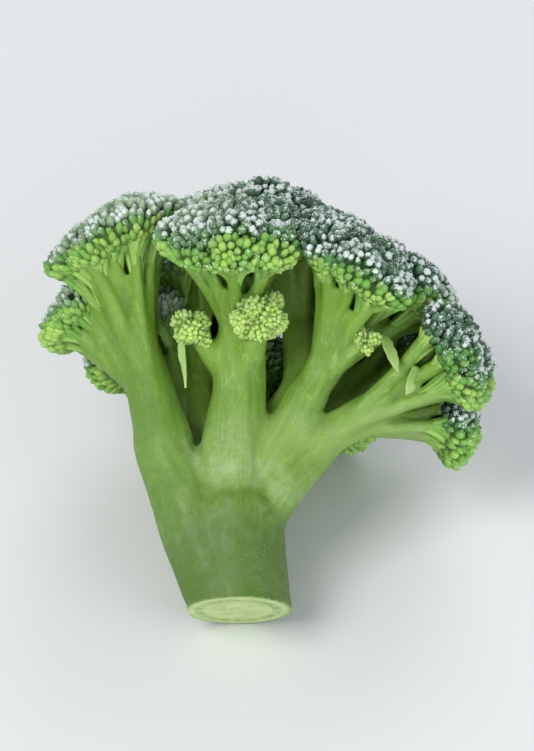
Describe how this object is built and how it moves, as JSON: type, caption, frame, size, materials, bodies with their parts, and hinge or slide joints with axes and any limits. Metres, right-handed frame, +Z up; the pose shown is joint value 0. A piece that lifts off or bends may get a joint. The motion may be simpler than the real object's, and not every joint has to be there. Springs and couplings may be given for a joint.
{
  "type": "broccoli head",
  "caption": "Small frosted broccoli head with its cut stalk, branching under a domed crown of packed flower buds, lying on its side.",
  "frame": {"origin": "on the resting surface, under the middle of the head's bounding box, as it lies at rest on its back", "axes": "+Z up from the surface; the stalk's cut end is towards -Y and the crown towards +Y; the view from -Y, above, shows the side that carries the pale side shoots"},
  "size_m": [0.0486, 0.047, 0.0392],
  "materials": {
    "stalk": "matte, pale green skin with fine lengthwise fibres; the knife-cut end is paler and moist",
    "branch": "matte, pale to yellow-green skin, darker green in the recesses between branches",
    "buds": "matte, dark blue-green packed flower buds, yellow-green on the shaded underside, tips dusted with whitish frost",
    "shoot": "matte, pale yellow-green immature buds",
    "bract": "matte, thin light green scale leaf"
  },
  "bodies": {
    "root": {"stalk": "stalk", "branch_left": "branch", "branch_front": "branch", "branch_right": "branch", "branch_low_right": "branch", "branch_top": "branch", "branch_back_left": "branch", "branch_back": "branch", "branch_back_right": "branch", "bud_head_left": "buds", "bud_head_left_low": "buds", "bud_head_front": "buds", "bud_head_front_right": "buds", "bud_head_right": "buds", "bud_head_right_low": "buds", "bud_head_right_drop": "buds", "bud_head_top": "buds", "bud_head_back_left": "buds", "bud_head_back_left_low": "buds", "bud_head_back": "buds", "bud_head_back_low": "buds", "bud_head_back_right": "buds", "bud_head_back_right_low": "buds", "side_shoot_front": "shoot", "side_shoot_left": "shoot", "side_shoot_right": "shoot", "bract_front": "bract", "bract_right": "bract", "bract_low_right": "bract"}
  },
  "joints": []
}
